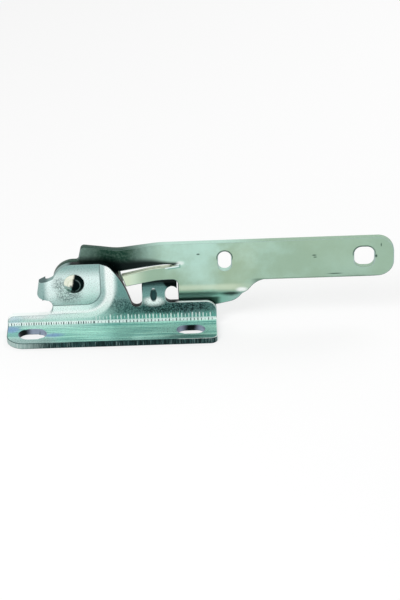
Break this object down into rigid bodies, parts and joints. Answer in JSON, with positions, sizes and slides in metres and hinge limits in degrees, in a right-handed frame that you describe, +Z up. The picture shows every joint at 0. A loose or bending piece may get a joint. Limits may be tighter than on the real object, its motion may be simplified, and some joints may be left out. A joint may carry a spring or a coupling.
{
  "type": "car bonnet hinge",
  "caption": "Pressed zinc-plated steel bonnet hinge: a slotted, folded base bracket with stop tabs, and a long offset arm that swings on a rivet.",
  "frame": {"origin": "on the mounting face, on the centre line of the fixing slots, straight below the pivot", "axes": "+Z up from the mounting face, +X along the closed arm, +Y from the flange's free edge towards the web"},
  "size_m": [0.249, 0.0416, 0.0593],
  "materials": {
    "zinc_bracket": "bright zinc plate with a green passivated tint",
    "zinc_arm": "bright zinc plate with a pale green and yellow tint",
    "rivet_steel": "bright steel",
    "washer_steel": "dull zinc plate"
  },
  "bodies": {
    "base": {"bracket": "zinc_bracket", "pivot_rivet": "rivet_steel", "spacer_washer": "washer_steel", "back_washer": "washer_steel"},
    "arm": {"hinge_arm": "zinc_arm"}
  },
  "joints": [
    {"name": "arm_swing", "type": "hinge", "parent": "base", "child": "arm", "pos_m": [0, 0.02265, 0.0315], "axis": [0, -1, 0], "range_deg": [0, 95]}
  ]
}
